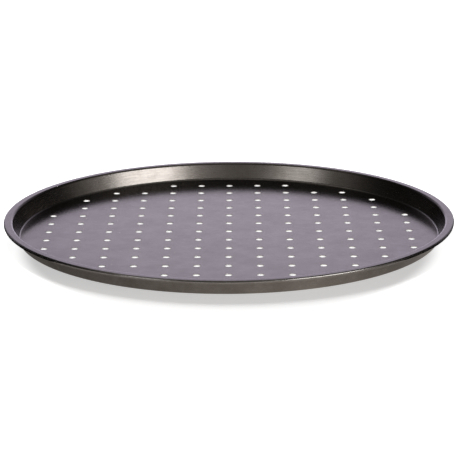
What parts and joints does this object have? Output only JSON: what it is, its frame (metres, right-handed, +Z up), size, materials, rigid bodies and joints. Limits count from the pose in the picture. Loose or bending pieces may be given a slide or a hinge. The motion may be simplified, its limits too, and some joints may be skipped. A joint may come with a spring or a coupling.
{
  "type": "perforated pizza pan",
  "caption": "Round shallow pizza pan of dark non-stick steel sheet, with a perforated flat floor, a low flared wall and a flat rim whose edge is rolled round a wire.",
  "frame": {"origin": "centre of the underside of the floor, on the surface that the pan stands on", "axes": "+Z up, out of the open side of the pan; +X along the rows of holes, +Y along the columns of holes"},
  "size_m": [0.328, 0.328, 0.0125],
  "materials": {
    "nonstick_coating": "satin dark grey non-stick coating with fine metallic flake, baked on steel sheet",
    "wire_steel": "drawn steel wire, uncoated"
  },
  "bodies": {
    "root": {"pan_pressing": "nonstick_coating", "rim_wire": "wire_steel"}
  },
  "joints": []
}
